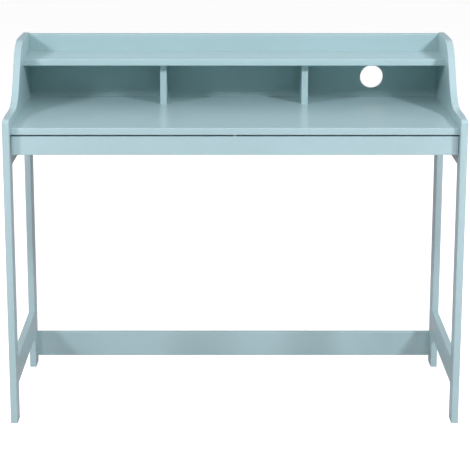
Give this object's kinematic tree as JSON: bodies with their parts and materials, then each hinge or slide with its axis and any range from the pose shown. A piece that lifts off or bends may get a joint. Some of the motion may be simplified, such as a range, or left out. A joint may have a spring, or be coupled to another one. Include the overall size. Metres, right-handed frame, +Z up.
{
  "type": "secretary desk",
  "caption": "Lacquered secretary desk with curved stepped side frames, a shallow full-width drawer and a low hutch with a shelf, cubbies and a round cable hole.",
  "frame": {"origin": "on the floor, at the centre of the desk's width and depth", "axes": "+X to the right of a person sitting at the desk, +Y from the front to the back, +Z up"},
  "size_m": [1.1, 0.5, 0.9],
  "materials": {
    "lacquer": "satin duck-egg blue lacquer on fibreboard and solid wood",
    "beech": "bare beech",
    "hardboard": "bare hardboard",
    "felt": "grey-beige felt",
    "zinc": "zinc plated",
    "slide_steel": "bright zinc-plated sheet steel",
    "ball_steel": "polished"
  },
  "bodies": {
    "desk": {"front_leg_left": "lacquer", "front_leg_right": "lacquer", "back_leg_left": "lacquer", "back_leg_right": "lacquer", "side_panel_left": "lacquer", "side_panel_right": "lacquer", "side_stretcher_left": "lacquer", "side_stretcher_right": "lacquer", "desktop": "lacquer", "rear_rail": "lacquer", "rear_stretcher": "lacquer", "hutch_back_panel": "lacquer", "hutch_shelf": "lacquer", "divider_left": "lacquer", "divider_right": "lacquer", "frame_dowels": "beech", "carcass_dowels": "beech", "hutch_dowels": "beech", "cam_bolts": "zinc", "cam_discs": "zinc", "shelf_screws": "zinc", "slide_outer_left": "slide_steel", "slide_outer_right": "slide_steel", "slide_outer_screws": "zinc"},
    "drawer": {"drawer_front": "lacquer", "drawer_side_left": "lacquer", "drawer_side_right": "lacquer", "drawer_back": "lacquer", "drawer_bottom": "hardboard", "drawer_batten": "beech", "drawer_pad": "felt", "drawer_dowels": "beech", "drawer_corner_screws": "zinc", "drawer_bottom_screws": "zinc", "slide_inner_left": "slide_steel", "slide_inner_right": "slide_steel", "slide_inner_screws": "zinc"},
    "cage_left": {"slide_cage_left": "zinc", "slide_balls_left": "ball_steel"},
    "cage_right": {"slide_cage_right": "zinc", "slide_balls_right": "ball_steel"}
  },
  "joints": [
    {"name": "drawer_slide", "type": "slide", "parent": "desk", "child": "drawer", "axis": [0, -1, 0], "range_m": [0, 0.26]},
    {"name": "cage_left_roll", "type": "slide", "parent": "desk", "child": "cage_left", "axis": [0, -1, 0], "range_m": [0, 0.13]},
    {"name": "cage_right_roll", "type": "slide", "parent": "desk", "child": "cage_right", "axis": [0, -1, 0], "range_m": [0, 0.13]}
  ],
  "couplings": [
    {"joint": "cage_left_roll", "follows": "drawer_slide", "ratio": 0.5},
    {"joint": "cage_right_roll", "follows": "drawer_slide", "ratio": 0.5}
  ]
}
